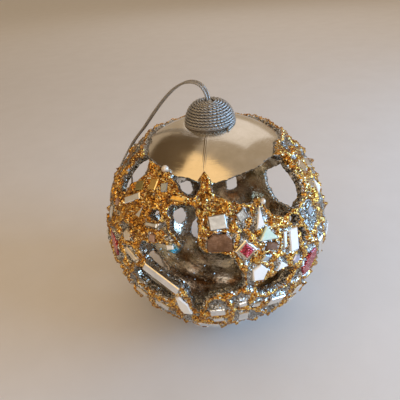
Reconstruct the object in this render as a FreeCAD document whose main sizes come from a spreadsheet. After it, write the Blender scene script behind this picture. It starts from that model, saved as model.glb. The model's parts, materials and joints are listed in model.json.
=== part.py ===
"""Hanging mosaic ball: a two-part silvered plastic ball with openings cut through it, coated with
glitter glue that beds small mirror tiles, and hung by a braided loop from a cord-wound cap.

Millimetres, +Z up.  The origin is the middle of the flat tile that the ball stands on.  The front is -Y
and the two half shells meet in the plane X = 0.  A place on the ball is given as (lon, pol) in degrees:
lon turns from the front towards +X, and pol is the angle down from the top.
"""
import FreeCAD, Part
import math
import os
import Sketcher
from FreeCAD import Placement, Rotation, Vector

doc = FreeCAD.newDocument("mosaic_ball")

# ---------------------------------------------------------------- driving dimensions
SIZES = {
    "ball_radius": 50.0,         # outside of the plastic ball
    "shell_wall": 1.6,
    "seam_lip_reach": 1.5,       # how far the left half's lip reaches into the right half
    "seam_lip_depth": 1.2,
    "lip_clearance": 0.1,
    "glue_film": 0.1,            # between the shell and what is glued on it
    "crust_thickness": 1.9,
    "dome_edge": 37.0,           # degrees from the top to where the crust begins
    "tile_thickness": 2.3,
    "tile_bevel": 0.35,
    "tile_stand": 0.65,          # bed of glue under the middle of a tile
    "tile_tip": 2.5,             # degrees: how unevenly the tiles are laid
    "grout_gap": 0.12,           # round each tile
    "rest_width": 20.0,          # the flat tile that the ball stands on
    "rest_thickness": 2.9,
    "rest_corner": 4.0,          # cut off each of its corners
    "tab_width": 8.0,
    "tab_thickness": 2.2,
    "tab_rise": "=cap_rise / 2",  # so that the knot above it stays inside the cap
    "eye_bore": 2.4,
    "cap_radius": 11.0,
    "cap_rise": 10.0,
    "cap_wall": 3.0,
    "cap_roof": 0.8,
    "collar_width": 2.2,
    "collar_step": 0.3,          # how far it stands out from under the winding
    "collar_rise": 0.8,
    "winding_cord": 1.2,
    "winding_rows": 12.0,
    "cord_hole": 3.6,
    "loop_cord": 1.1,
    "knot": 3.2,
    "pearl": 3.0,
    "small_bead": 2.2,
}

# ---------------------------------------------------------------- the tiles' outlines and places
OUTLINES = {
    "oblong": [(-0.5, -0.5), (0.5, -0.5), (0.5, 0.5), (-0.5, 0.5)],
    "diamond": [(0, -0.5), (0.5, 0), (0, 0.5), (-0.5, 0)],
    "wedge": [(-0.5, -0.5), (0.5, -0.5), (-0.1, 0.5)],
    "spike": [(-0.5, -0.5), (0.5, -0.4), (0.15, 0.5)],
    "five_sided": [(-0.35, -0.5), (0.3, -0.5), (0.5, 0.1), (0, 0.5), (-0.5, 0.15)],
    "long_hexagon": [(-0.5, 0), (-0.3, -0.5), (0.3, -0.5), (0.5, 0), (0.3, 0.5), (-0.3, 0.5)],
    "arch": [(-0.5, -0.5), (0.5, -0.5), (0.5, 0.2), (0.25, 0.5), (-0.25, 0.5), (-0.5, 0.2)],
    "petal": [(-0.2, -0.5), (0.5, -0.45), (0.35, 0.1), (-0.2, 0.5), (-0.5, 0.45), (-0.45, -0.2)],
    "slanted": [(-0.5, -0.5), (0.38, -0.5), (0.5, 0.5), (-0.38, 0.5)],
}
# name, outline, lon, pol, turn, width, height
TILES = [
    ("long_mirror_strip", "oblong", -42.5, 55, 36, 9.0, 2.8),
    ("olive_tile", "slanted", -41, 48.5, 25, 4.8, 3.8),
    ("yellow_gold_tile", "slanted", -31, 45.5, 12, 4.2, 4.8),
    ("pale_blue_tile", "oblong", -23, 45.5, 15, 3.0, 3.6),
    ("amber_bar_tile", "slanted", -13, 49, -4, 6.5, 1.9),
    ("upright_sliver", "spike", -34, 58.5, -15, 2.4, 5.4),
    ("flat_sliver", "oblong", -25, 62, 4, 5.6, 1.8),
    ("pink_tile", "five_sided", -55, 61.5, 20, 3.4, 3.4),
    ("left_edge_tile", "slanted", -59, 69, 10, 2.8, 5.0),
    ("cream_tile", "five_sided", -39.5, 71.5, 20, 4.6, 4.6),
    ("rose_brown_tile", "oblong", -23.5, 67.5, 8, 2.6, 3.2),
    ("pale_chip", "oblong", -14, 69.5, 12, 2.8, 1.8),
    ("cream_bar_tile", "slanted", -36, 79.5, -24, 8.4, 2.6),
    ("clear_strip", "oblong", -18.8, 85.6, -25, 17.2, 3.8),
    ("white_glass_tile", "petal", -9.6, 100.2, 0, 5.4, 11.5),
    ("brown_arch_tile", "arch", 8.5, 66.4, 0, 9.4, 6.8),
    ("frosted_tile", "oblong", 8, 58, 5, 6.4, 5.4),
    ("grey_blue_diamond", "diamond", 20, 56.5, -20, 4.6, 5.6),
    ("white_spike", "spike", 28.2, 58.6, -6, 3.2, 8.8),
    ("mint_tile", "wedge", 31, 66, -12, 8.0, 5.4),
    ("smoke_chip", "oblong", 31.5, 72, -20, 5.0, 3.0),
    ("red_diamond_tile", "diamond", 19.6, 70.8, -4, 8.6, 8.2),
    ("grey_diamond", "diamond", 28, 76.4, 5, 5.0, 3.0),
    ("large_white_tile", "five_sided", 24.6, 82.2, -8, 6.6, 7.2),
    ("small_white_wedge", "wedge", 35.5, 82, 0, 5.4, 4.0),
    ("white_oblong", "oblong", 43.4, 73.6, -6, 4.2, 9.0),
    ("narrow_silver_strip", "oblong", 38.4, 71.4, -10, 1.8, 6.8),
    ("lavender_tile", "five_sided", 43.5, 83, 10, 4.0, 3.8),
    ("right_ribbon_tile", "oblong", 73, 50, 20, 3.6, 4.8),
    ("right_edge_tile", "diamond", 70, 58.5, 10, 4.2, 4.6),
    ("right_sliver", "slanted", 58.5, 66.5, 20, 4.0, 3.2),
    ("red_tile_right", "long_hexagon", 53, 90.5, 50, 13.0, 6.2),
    ("red_tile_left", "long_hexagon", -51, 81.5, -50, 11.5, 4.6),
]
# Groups of alike tiles on the far side and round the underside.
TILE_GROUPS = {
    "rim_tiles": [
        ("oblong", 17, 99, 10, 3.2, 2.8), ("oblong", 23.5, 101.5, -10, 3.2, 2.6),
        ("slanted", 34, 104, -14, 8.0, 4.2), ("slanted", 18, 110, 8, 4.6, 7.2),
        ("oblong", 5.5, 103.5, 0, 6.0, 4.6), ("oblong", 5.5, 111, 6, 4.6, 3.2),
        ("oblong", -22, 105, -20, 6.5, 4.0), ("slanted", -34, 102, -24, 7.0, 4.0),
        ("five_sided", -48, 103, -20, 6.0, 5.0), ("oblong", 48, 106, -30, 5.0, 4.4)],
    "far_square_tiles": [
        ("oblong", 180, 116, 5, 7.0, 6.0), ("slanted", 160, 104, 10, 6.0, 8.0),
        ("oblong", -168, 104, -12, 5.0, 7.0), ("oblong", 108.5, 100, 30, 4.0, 6.4),
        ("slanted", 64, 88, 10, 4.0, 8.0), ("oblong", -66, 88, -20, 4.0, 7.0),
        ("slanted", -104, 94, 15, 6.0, 5.0), ("oblong", -134, 84, -20, 7.0, 5.0)],
    "far_wedge_tiles": [
        ("wedge", 174, 82, 30, 7.0, 7.0), ("wedge", 114, 72, -10, 6.0, 6.0),
        ("wedge", -142, 64, 20, 8.0, 6.0), ("wedge", -90, 88, 180, 6.0, 5.0),
        ("wedge", 76, 62, 0, 5.0, 6.0), ("wedge", 130, 62, 180, 9.0, 7.0),
        ("wedge", -160, 116, 40, 7.0, 6.0), ("wedge", 78, 89, 160, 6.0, 6.0)],
    "far_diamond_tiles": [
        ("diamond", 180, 58, 0, 8.0, 9.0), ("diamond", 146, 113, 10, 7.0, 6.0),
        ("diamond", -128, 118, 0, 8.0, 7.0), ("diamond", 106, 118, 20, 7.0, 8.0),
        ("diamond", -104, 52, -10, 6.0, 6.0), ("diamond", 82, 52, 10, 6.0, 7.0)],
    "far_red_tiles": [
        ("long_hexagon", 106, 89, 60, 8.0, 4.0), ("long_hexagon", -145, 88, 70, 8.0, 4.0),
        ("diamond", -68, 118, 0, 8.0, 7.0), ("diamond", 160, 90, 20, 6.0, 7.0)],
    "underside_tiles": [
        ("oblong", 0, 121, 4, 9.0, 6.0), ("slanted", -60, 134, 20, 6.0, 8.0),
        ("oblong", 50, 120, -10, 7.0, 6.0), ("oblong", 48, 136, 10, 5.0, 7.0),
        ("slanted", 104, 134, -20, 7.0, 9.0), ("oblong", 160, 132, 12, 6.0, 8.0),
        ("oblong", -120, 134, -12, 7.0, 8.0), ("slanted", -8, 136, -8, 7.0, 9.0),
        ("wedge", 30, 154, 20, 8.0, 7.0), ("wedge", 100, 154, 80, 8.0, 7.0),
        ("wedge", 170, 154, 140, 8.0, 7.0), ("wedge", -120, 154, -100, 8.0, 7.0),
        ("wedge", -45, 154, -30, 8.0, 7.0)],
}


def grouped(group, members):
    """A group's tiles, each with a name of its own."""
    return [(f"{group}_{i}", *facts) for i, facts in enumerate(members, 1)]


every_tile = TILES + [t for group, members in TILE_GROUPS.items() for t in grouped(group, members)]
for name, *_, wide, tall in every_tile:
    SIZES[f"{name}_wide"] = wide
    SIZES[f"{name}_tall"] = tall

sheet = doc.addObject("Spreadsheet::Sheet", "sizes")
for row, (alias, value) in enumerate(SIZES.items(), 1):
    sheet.set(f"A{row}", alias)
    sheet.set(f"B{row}", str(value))
    sheet.setAlias(f"B{row}", alias)
doc.recompute()


def size(alias):
    return float(sheet.get(alias))


BALL = size("ball_radius")
INSIDE = BALL - size("shell_wall")
SKIN = BALL + size("glue_film")
CENTRE = Vector(0, 0, SKIN + size("rest_thickness"))
CENTRE_SUM = "sizes.ball_radius + sizes.glue_film + sizes.rest_thickness"
parts = []


# ---------------------------------------------------------------- places on the ball
def outward(lon, pol):
    """Unit vector from the ball's centre to a place on it."""
    turn, fall = math.radians(lon), math.radians(pol)
    return Vector(math.sin(fall) * math.sin(turn), -math.sin(fall) * math.cos(turn), math.cos(fall))


def seated(lon, pol, turn, height):
    """Placement on the ball: local X points east, Y towards the top, Z outwards, then turned about Z."""
    out = outward(lon, pol)
    east = Vector(math.cos(math.radians(lon)), math.sin(math.radians(lon)), 0)
    facing = Rotation(east, out.cross(east), out, "ZXY")
    return Placement(out * height, facing.multiply(Rotation(Vector(0, 0, 1), turn)))


def radial_prism(corners, near, far):
    """Solid between two planes whose flat sides all pass through the ball's centre."""
    rays = [outward(lon, pol) for lon, pol in corners]
    middle = sum(rays, Vector()).normalize()
    small, large = ([ray * (reach / ray.dot(middle)) for ray in rays] for reach in (near, far))
    loops = [small, large]
    loops += [[small[i - 1], small[i], large[i], large[i - 1]] for i in range(len(rays))]
    faces = [Part.Face(Part.makePolygon(loop + loop[:1])) for loop in loops]
    solid = Part.Solid(Part.Shell(faces))
    if solid.Volume < 0:
        solid.reverse()
    return solid


# ---------------------------------------------------------------- document helpers
def add(kind, name, bindings=None, **values):
    """One document object, with its plain values and its bound sizes."""
    thing = doc.addObject(kind, name)
    for key, value in values.items():
        setattr(thing, key, value)
    for key, expression in (bindings or {}).items():
        thing.setExpression(key, expression)
    return thing


def shaped(name, shape):
    """A Part::Feature that holds a shape made with Part's own functions."""
    thing = doc.addObject("Part::Feature", name)
    thing.Shape = shape
    return thing


def cut(name, base, tool):
    return add("Part::Cut", name, Base=base, Tool=tool)


def fuse(name, *things):
    return add("Part::MultiFuse", name, Shapes=list(things))


def keep(thing, label, lift=True):
    """Name a finished sub-part and raise it from ball coordinates to its height above the floor."""
    thing.Label = label
    if lift:
        thing.setExpression("Placement.Base.z", CENTRE_SUM)
    parts.append(thing)


def sphere(name, radius):
    return add("Part::Sphere", name, {"Radius": radius})


# ---------------------------------------------------------------- openings through shell and crust
OPENINGS = {
    "upper_left": [(-62, 40), (-54, 35.5), (-44, 38), (-47, 46), (-51, 54), (-58, 57), (-63, 51)],
    "crescent": [(-20, 39), (-10, 40), (-2, 40.5), (-2, 43.5), (-7, 46.5), (-13, 43.5)],
    "great_right": [
        (5, 41), (20, 40), (34, 39), (48, 38), (60, 36), (66, 39), (64, 48), (64, 55), (60, 60),
        (54, 61), (46, 61.5), (40, 62), (36, 60), (34, 52), (31, 49.5), (26, 52), (20, 50.5),
        (13, 48.5), (8, 46)],
    "great_front": [
        (-18, 53), (-12, 51.8), (-2, 52), (-2, 66), (-1.5, 70.5), (3, 72.2), (13, 72), (15, 78),
        (17.5, 84), (17.5, 89), (12, 92), (2, 93), (-1.5, 97), (-1.5, 105), (-4.8, 105.5), (-5.5, 96),
        (-8.5, 88.6), (-20, 83.2), (-30, 78.2), (-31, 74), (-29, 71.5), (-24, 71), (-20, 69.8),
        (-16.5, 69.8), (-14.5, 72), (-10.8, 72.4), (-8.5, 70), (-9, 66), (-12, 64.5), (-14.5, 61),
        (-16, 58)],
    "lower_left": [
        (-36.5, 89.5), (-31, 84.6), (-25, 85), (-19, 87.8), (-14.2, 91), (-14.2, 98.5), (-22, 100),
        (-30, 96.8), (-36, 93.5)],
    "lower_right": [(23, 91), (30, 87.5), (38, 86.5), (43, 88), (40, 93), (32, 96.5), (25, 96)],
    "slit_right": [(48.5, 71), (51, 71), (52.5, 75.5), (51.5, 81), (49.5, 81), (50, 75)],
    "small_recess": [(-28, 56), (-22, 56), (-22, 59.5), (-28, 59.5)],
    "small_lens": [(44, 64), (47, 63.5), (50.5, 66), (49, 68), (45, 67)],
    "back_left": [(-126, 66), (-112, 60), (-98, 64), (-96, 76), (-104, 84), (-116, 82), (-125, 76)],
    "back_low_left": [(-146, 116), (-139, 115.5), (-136, 119), (-137.5, 124), (-143, 125), (-147, 121)],
    "back_low": [(172, 96), (178, 96), (178, 107), (172, 105)],
    "back_great": [
        (150, 88), (140, 82), (131, 75), (126, 82), (118, 88), (117, 97), (122, 105), (131, 106),
        (140, 106), (146, 101), (149, 94)],
    "back_lens": [(116, 109), (122, 109), (128, 112), (124, 115), (118, 114)],
    "low_left": [(-104, 128), (-92, 126), (-84, 132), (-86, 144), (-100, 142)],
    "back_right_top": [(150, 62), (164, 58), (170, 66), (164, 76), (153, 73)],
    "back_middle": [(-176, 70), (-165, 66), (-152, 70), (-150, 80), (-160, 86), (-172, 82)],
    "back_left_low": [(-142, 95), (-128, 91), (-115, 96), (-113, 106), (-124, 112), (-138, 107)],
    "left_low": [(-96, 99), (-82, 95), (-71, 99), (-74, 108), (-88, 112)],
    "left_side": [(-86, 60), (-77, 55), (-71, 63), (-73, 75), (-81, 78)],
    "right_side": [(84, 66), (94, 60), (106, 64), (104, 78), (94, 84), (86, 78)],
    "right_low": [(75, 99), (84, 95), (94, 100), (90, 112), (79, 111)],
    "top_right": [(96, 43), (112, 41), (118, 48), (108, 54), (98, 51)],
    "top_back": [(138, 45), (154, 41), (164, 47), (150, 54)],
    "top_back_left": [(-170, 44), (-156, 41), (-146, 49), (-160, 56)],
    "top_left": [(-136, 44), (-121, 42), (-112, 48), (-122, 54), (-134, 52)],
    "low_front": [(-48, 128), (-34, 124), (-22, 130), (-28, 141), (-42, 142)],
    "low_front_right": [(10, 128), (24, 124), (36, 130), (32, 141), (16, 142)],
    "low_right": [(62, 126), (76, 124), (86, 133), (78, 143), (64, 139)],
    "low_back_right": [(122, 128), (136, 124), (146, 132), (138, 143), (124, 140)],
    "low_back": [(-170, 127), (-156, 124), (-146, 133), (-154, 143), (-168, 140)],
}
PRISM_NEAR = 0.78 * INSIDE
PRISM_FAR = SKIN + 3 * size("tile_thickness")
prisms = [
    shaped(f"opening_{name}", radial_prism(corners, PRISM_NEAR, PRISM_FAR))
    for name, corners in OPENINGS.items()]
openings = add("Part::Compound", "openings", Links=prisms)

# ---------------------------------------------------------------- half shells
shell_outer = sphere("shell_outer", "sizes.ball_radius")
shell_inner = sphere("shell_inner", "sizes.ball_radius - sizes.shell_wall")
shell_skin = cut("shell_skin", shell_outer, shell_inner)


def half_block(name, side):
    """Block that holds everything on one side of the seam plane; side is -1 for left, 1 for right."""
    block = add("Part::Box", name, {
        "Length": "2 * sizes.ball_radius", "Width": "4 * sizes.ball_radius",
        "Height": "4 * sizes.ball_radius", "Placement.Base.y": "-2 * sizes.ball_radius",
        "Placement.Base.z": "-2 * sizes.ball_radius"})
    if side < 0:
        block.setExpression("Placement.Base.x", "-2 * sizes.ball_radius")
    return block


def ring(name, outer, inner, start, length):
    """Ring about the X axis, from X = start."""
    discs = []
    for which, radius in (("outer", outer), ("inner", inner)):
        disc = add("Part::Cylinder", f"{name}_{which}", {
            "Radius": radius, "Height": length, "Placement.Base.x": start})
        disc.Placement.Rotation = Rotation(Vector(0, 1, 0), 90)
        discs.append(disc)
    return cut(name, *discs)


def hanging_tab(side):
    """One half's share of the tab with the eye that the loop passes through."""
    sign = "left" if side < 0 else "right"
    blade = add("Part::Box", f"tab_blade_{sign}", {
        "Length": "sizes.tab_thickness / 2", "Width": "sizes.tab_width",
        "Height": "sizes.tab_rise + sizes.shell_wall / 2",
        "Placement.Base.y": "-sizes.tab_width / 2",
        "Placement.Base.z": "sizes.ball_radius - sizes.shell_wall / 2"})
    if side < 0:
        blade.setExpression("Placement.Base.x", "-sizes.tab_thickness / 2")
    eye = add("Part::Cylinder", f"tab_eye_{sign}", {
        "Radius": "sizes.eye_bore / 2", "Height": "2 * sizes.tab_thickness",
        "Placement.Base.x": "-sizes.tab_thickness",
        "Placement.Base.z": "sizes.ball_radius + sizes.tab_rise / 2"})
    eye.Placement.Rotation = Rotation(Vector(0, 1, 0), 90)
    return cut(f"tab_{sign}", blade, eye)


half_blocks = {side: half_block(f"half_block_{word}", side) for side, word in ((-1, "left"), (1, "right"))}
lip_root = ring(
    "lip_root", "sizes.ball_radius - sizes.shell_wall / 2",
    "sizes.ball_radius - sizes.shell_wall - sizes.seam_lip_depth",
    "-sizes.seam_lip_reach", "sizes.seam_lip_reach")
lip_reach = ring(
    "lip_reach", "sizes.ball_radius - sizes.shell_wall - sizes.lip_clearance",
    "sizes.ball_radius - sizes.shell_wall - sizes.seam_lip_depth", "0", "sizes.seam_lip_reach")
for side, word in ((-1, "left"), (1, "right")):
    half = add("Part::Common", f"half_{word}", Base=shell_skin, Tool=half_blocks[side])
    pieces = [half, hanging_tab(side)]
    if side < 0:
        pieces += [lip_root, lip_reach]
    keep(cut(f"cut_shell_{word}", fuse(f"joined_{word}", *pieces), openings), f"half_shell_{word}")

# ---------------------------------------------------------------- mirror tiles
pockets = []



def tile(name, outline, lon, pol, turn, wide, tall):
    """A flat tile in its bed of glue, and the pocket that the crust keeps round it."""
    count = len(pockets)
    tip = size("tile_tip")
    place = seated(lon, pol, turn, SKIN + size("tile_stand"))
    lean = Rotation(tip * math.sin(2.4 * count), tip * math.sin(1.7 * count + 1), 0)
    place.Rotation = place.Rotation.multiply(lean)
    body = doc.addObject("PartDesign::Body", f"{name}_body")
    sketch = body.newObject("Sketcher::SketchObject", f"{name}_outline")
    plane = next(f for f in body.Origin.OriginFeatures if f.Role == "XY_Plane")
    sketch.AttachmentSupport = [(plane, "")]
    sketch.MapMode = "FlatFace"
    corners = [Vector(u * wide, v * tall, 0) for u, v in OUTLINES[outline]]
    for i, corner in enumerate(corners):
        sketch.addGeometry(Part.LineSegment(corner, corners[(i + 1) % len(corners)]))
    for i in range(len(corners)):
        sketch.addConstraint(Sketcher.Constraint("Coincident", i, 2, (i + 1) % len(corners), 1))
    for i, (u, v) in enumerate(OUTLINES[outline]):
        for way, share, word, across in (("DistanceX", u, "wide", wide), ("DistanceY", v, "tall", tall)):
            spot = sketch.addConstraint(Sketcher.Constraint(way, -1, 1, i, 1, share * across))
            sketch.setExpression(f"Constraints[{spot}]", f"sizes.{name}_{word} * {share}")
    pad = body.newObject("PartDesign::Pad", f"{name}_pad")
    pad.Profile = sketch
    pad.setExpression("Length", "sizes.tile_thickness")
    body.Placement = Placement(CENTRE, Rotation()).multiply(place)

    gap = 2 * size("grout_gap")
    bed = [Vector(u * (wide + gap), v * (tall + gap), -2 * size("tile_stand")) for u, v in OUTLINES[outline]]
    pocket = Part.Face(Part.makePolygon(bed + bed[:1])).extrude(Vector(0, 0, 3 * size("tile_thickness")))
    pocket.Placement = place
    pockets.append(shaped(f"{name}_pocket", pocket))
    return body


def bevel(body):
    """Take the sharp edge off the outer face of a tile."""
    pad = body.Tip
    top = [f"Face{i}" for i, f in enumerate(pad.Shape.Faces, 1) if f.normalAt(0, 0).z > 0.99]
    chamfer = body.newObject("PartDesign::Chamfer", f"{body.Name}_bevel")
    chamfer.Base = (pad, top)
    chamfer.setExpression("Size", "sizes.tile_bevel")
    body.Tip = chamfer


bodies = {name: tile(name, *facts) for name, *facts in every_tile}
doc.recompute()
for body in bodies.values():
    bevel(body)
for name, *_ in TILES:
    keep(bodies[name], name, lift=False)
for group, members in TILE_GROUPS.items():
    links = [bodies[name] for name, *_ in grouped(group, members)]
    keep(add("Part::Compound", group, Links=links), group, lift=False)

# The flat tile at the bottom, which the ball stands on.
rest_blank = add("Part::Box", "rest_blank", {
    "Length": "sizes.rest_width", "Width": "sizes.rest_width", "Height": "sizes.rest_thickness",
    "Placement.Base.x": "-sizes.rest_width / 2", "Placement.Base.y": "-sizes.rest_width / 2"})
rest_tile = add("Part::Chamfer", "rest_tile", Base=rest_blank)
doc.recompute()
corner_edges = [
    i for i, edge in enumerate(rest_blank.Shape.Edges, 1)
    if abs(edge.tangentAt(edge.FirstParameter).z) > 0.99]
rest_tile.Edges = [(i, size("rest_corner"), size("rest_corner")) for i in corner_edges]
keep(rest_tile, "resting_tile", lift=False)
rest_pocket = add("Part::Box", "rest_pocket", {
    "Length": "sizes.rest_width + 2 * sizes.grout_gap", "Width": "sizes.rest_width + 2 * sizes.grout_gap",
    "Height": "2 * sizes.rest_thickness",
    "Placement.Base.x": "-sizes.rest_width / 2 - sizes.grout_gap",
    "Placement.Base.y": "-sizes.rest_width / 2 - sizes.grout_gap",
    "Placement.Base.z": "-sizes.ball_radius - 2 * sizes.rest_thickness"})
pockets.append(rest_pocket)

# ---------------------------------------------------------------- glitter glue crust
crust_outer = sphere("crust_outer", "sizes.ball_radius + sizes.glue_film + sizes.crust_thickness")
crust_inner = sphere("crust_inner", "sizes.ball_radius + sizes.glue_film")
dome_cone = add("Part::Cone", "dome_cone", {
    "Radius2": "2 * sizes.ball_radius * sin(sizes.dome_edge * 1deg)",
    "Height": "2 * sizes.ball_radius * cos(sizes.dome_edge * 1deg)"}, Radius1=0)
crust_skin = cut("crust_skin", cut("crust_blank", crust_outer, crust_inner), dome_cone)
pearl_place = (-29, 37.5)
pearl_pocket = add("Part::Cylinder", "pearl_pocket", {
    "Radius": "sizes.pearl / 2 + sizes.grout_gap", "Height": "2 * sizes.pearl"})
pearl_pocket.Placement = seated(*pearl_place, 0, INSIDE)
pockets.append(pearl_pocket)
pocket_set = add("Part::Compound", "pockets", Links=pockets)
for side, word in ((-1, "left"), (1, "right")):
    half = add("Part::Common", f"crust_half_{word}", Base=crust_skin, Tool=half_blocks[side])
    opened = cut(f"crust_opened_{word}", half, openings)
    keep(cut(f"crust_bedded_{word}", opened, pocket_set), f"glitter_crust_{word}")

# ---------------------------------------------------------------- beads
for name, diameter, place, seat in (
        ("pearl_bead", "pearl", pearl_place, SKIN),
        ("white_bead", "small_bead", (32, 53), SKIN + size("crust_thickness") + size("glue_film"))):
    bead = sphere(f"{name}_ball", f"sizes.{diameter} / 2")
    bead.Placement.Base = CENTRE + outward(*place) * (seat + size(diameter) / 2)
    keep(bead, name, lift=False)


# ---------------------------------------------------------------- cap
CAP_SLOPE, CAP_SHOULDER = 1.5, 0.25  # the outline is r = R (1 - s^slope)^shoulder
SINK = 1.0                           # how far rings start below the ball's surface


def cap_curve(inset, steps=16):
    """Points of the cap's outline, from its foot to the middle of its top, set in by inset."""
    radius, rise = size("cap_radius") - inset, size("cap_rise") - inset
    foot = math.sqrt(BALL ** 2 - size("cap_radius") ** 2)
    curve = []
    for i in range(steps + 1):
        share = math.sin(math.pi / 2 * i / steps)
        curve.append(Vector(radius * (1 - share ** CAP_SLOPE) ** CAP_SHOULDER, 0, foot + rise * share))
    return curve


def spun(name, outline):
    """Solid of revolution about Z from a closed outline in the XZ plane."""
    return shaped(name, Part.Face(outline).revolve(Vector(), Vector(0, 0, 1), 360))


def bowed(start, end, bulge):
    """Arc from start to end that bulges to the right of the way it goes."""
    way = (end - start).normalize()
    aside = Vector(way.z, 0, -way.x)
    return Part.Arc(start, (start + end) / 2 + aside * bulge, end).toShape()


def even_points(curve, count):
    """Points spaced evenly along a polyline."""
    wire = Part.makePolygon(curve)
    return wire.discretize(Number=count)


collar_outside = size("cap_radius") + size("collar_step")
foot = math.sqrt(BALL ** 2 - size("cap_radius") ** 2)
collar_top = foot + size("collar_rise")
hole = size("cord_hole") / 2
film = size("glue_film")

collar_inside = collar_outside - size("collar_width")
collar_box = Part.makePolygon([
    Vector(collar_inside, 0, foot - SINK), Vector(collar_outside, 0, foot - SINK),
    Vector(collar_outside, 0, collar_top), Vector(collar_inside, 0, collar_top),
    Vector(collar_inside, 0, foot - SINK)])
cap_seat = sphere("cap_seat", "sizes.ball_radius + sizes.glue_film")
keep(cut("collar_seated", spun("collar_blank", collar_box), cap_seat), "cap_collar")


def above(curve, height):
    """The part of an outline that lies above a height, begun exactly at it."""
    higher = [p for p in curve if p.z > height + film]
    return [Vector(curve[0].x if len(higher) == len(curve) else higher[0].x, 0, height)] + higher


def outside_hole(curve, radius):
    """The part of an outline that lies outside the cord's hole, ended exactly at it."""
    wider = [p for p in curve if p.x > radius + film]
    return wider + [Vector(radius, 0, wider[-1].z)]


winding_foot = collar_top + film
row_line = outside_hole(above(cap_curve(size("winding_cord") / 2), winding_foot), hole)
inner_line = outside_hole(above(cap_curve(size("winding_cord")), winding_foot), hole)
row_points = even_points(row_line, int(size("winding_rows")) + 1)
winding_edges = [
    bowed(row_points[i], row_points[i + 1], size("winding_cord") / 2)
    for i in range(len(row_points) - 1)]
winding_edges += [Part.LineSegment(a, b).toShape() for a, b in zip(
    [row_points[-1]] + inner_line[::-1], inner_line[::-1] + [row_points[0]])]
keep(spun("winding", Part.Wire(winding_edges)), "cap_cord_winding")

core_line = outside_hole(above(cap_curve(size("winding_cord") + film), collar_top + film), hole)
room_radius = size("cap_radius") - size("winding_cord") - size("cap_wall")
room_top = core_line[-1].z - size("cap_roof")
core_outline = Part.makePolygon(
    [Vector(room_radius, 0, foot - SINK), Vector(collar_inside - film, 0, foot - SINK),
     Vector(collar_inside - film, 0, winding_foot)]
    + core_line
    + [Vector(hole, 0, room_top), Vector(room_radius, 0, room_top), Vector(room_radius, 0, foot - SINK)])
keep(cut("core_seated", spun("core_blank", core_outline), cap_seat), "cap_core")

# ---------------------------------------------------------------- hanging loop
# The loop's route: up from the cap, over, and down the back of the ball, out and back.
LOOP_ROUTE = [
    (0.0, 0.9, 111.8), (-0.5, 1.2, 115.2), (-3.6, 2.7, 118.5), (-8.8, 5.3, 118.6),
    (-14.6, 8.0, 115.4), (-20.0, 10.5, 110.4), (-25.3, 13.0, 104.4), (-30.0, 15.1, 98.6),
    (-34.8, 16.9, 92.6), (-40.4, 17.3, 86.7), (-44.5, 18.7, 80.3), (-47.2, 20.6, 73.3),
    (-48.5, 23.7, 65.5), (-49.2, 25.1, 56.9), (-51.1, 21.2, 49.6), (-53.4, 13.3, 46.7),
    (-55.0, 6.3, 50.6), (-55.0, 3.4, 58.3), (-53.4, 7.0, 65.9), (-50.2, 13.0, 72.4),
    (-45.6, 16.3, 79.9), (-41.0, 15.9, 86.7), (-35.2, 15.1, 93.0), (-30.9, 13.3, 98.6),
    (-26.2, 11.1, 104.4), (-20.9, 8.6, 110.4), (-15.5, 6.0, 115.4), (-9.7, 3.4, 118.6),
    (-4.4, 1.0, 118.5), (-1.2, -0.4, 115.2), (-0.7, -0.6, 111.8),
]


def cord_path(route):
    """Straight runs joined by the largest tangent arcs that the runs leave room for."""
    points = [Vector(*p) for p in route]
    edges, last, radii = [], points[0], []
    for before, here, after in zip(points, points[1:], points[2:]):
        back, ahead = before - here, after - here
        half_turn = (math.pi - back.getAngle(ahead)) / 2
        reach = 0.45 * min(back.Length, ahead.Length)
        radii.append(reach / math.tan(half_turn))
        start, end = here + back.normalize() * reach, here + ahead.normalize() * reach
        bisector = (back + ahead).normalize()
        middle = here + bisector * (radii[-1] / math.cos(half_turn) - radii[-1])
        edges += [Part.LineSegment(last, start).toShape(), Part.Arc(start, middle, end).toShape()]
        last = end
    edges.append(Part.LineSegment(last, points[-1]).toShape())
    return Part.Wire(edges), radii


loop_path, loop_radii = cord_path(LOOP_ROUTE)
loop_radius = size("loop_cord") / 2
first_way = loop_path.Edges[0].tangentAt(0)
section = Part.Wire(Part.Circle(Vector(*LOOP_ROUTE[0]), first_way, loop_radius).toShape())
loop = loop_path.makePipeShell([section], True, False)
keep(shaped("loop", loop), "hanging_loop", lift=False)
print("cord arc radii:", ", ".join(f"{r:.1f}" for r in loop_radii))
print(f"cord length {loop_path.Length:.1f}, volume over section times length",
      round(loop.Volume / (loop_path.Length * math.pi * loop_radius ** 2), 4))

# The knotted ends of the loop inside the cap: a ring through the eye, and the knot over it.
knot_ring = add("Part::Torus", "knot_ring", {
    "Radius1": "sizes.tab_rise / 4 + sizes.eye_bore / 4", "Radius2": "sizes.loop_cord / 2",
    "Placement.Base.z": "sizes.ball_radius + 3 * sizes.tab_rise / 4 + sizes.eye_bore / 4"})
knot_ring.Placement.Rotation = Rotation(Vector(1, 0, 0), 90)
knot_height = f"{foot} + sizes.cap_rise - sizes.knot / 2"
knot = add("Part::Sphere", "knot", {"Radius": "sizes.knot / 2", "Placement.Base.z": knot_height})
stubs = [
    add("Part::Cylinder", f"loop_stub_{i}", {
        "Radius": "sizes.loop_cord / 2", "Height": "sizes.knot / 2", "Placement.Base.x": str(x),
        "Placement.Base.y": str(y), "Placement.Base.z": knot_height})
    for i, (x, y, z) in enumerate((LOOP_ROUTE[0], LOOP_ROUTE[-1]))]
keep(fuse("knot_whole", knot_ring, knot, *stubs), "loop_knot")

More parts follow.
